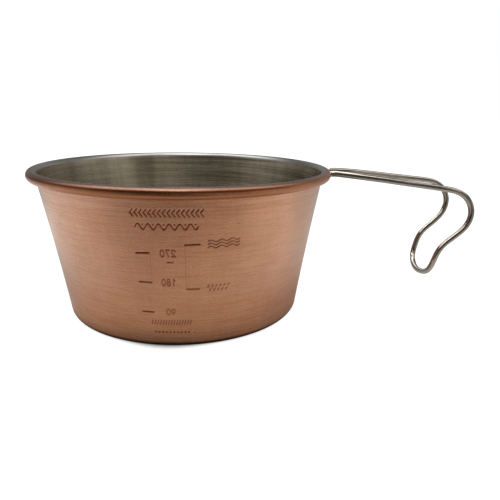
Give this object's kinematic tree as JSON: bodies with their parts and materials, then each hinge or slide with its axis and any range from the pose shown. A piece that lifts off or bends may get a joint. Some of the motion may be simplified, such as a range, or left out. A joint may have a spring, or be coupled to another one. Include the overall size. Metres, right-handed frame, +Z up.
{
  "type": "camping cup",
  "caption": "Deep tapered copper camping cup with a rolled rim, grey lining and a bent wire handle that hooks down into a narrow loop.",
  "frame": {"origin": "centre of the underside of the base, on the plane the cup stands on", "axes": "+Z up along the bowl's axis, +X from the bowl's axis out along the handle; the solids are symmetric about the XZ plane"},
  "size_m": [0.1753, 0.12, 0.0581],
  "materials": {
    "copper": "copper, fine brushing round the cup, satin; the roll is brighter",
    "lining": "warm grey metal, fine brushing round the cup, satin",
    "wire": "polished stainless wire"
  },
  "bodies": {
    "root": {"cup_body": "copper", "inner_lining": "lining", "handle_wire": "wire"}
  },
  "joints": []
}
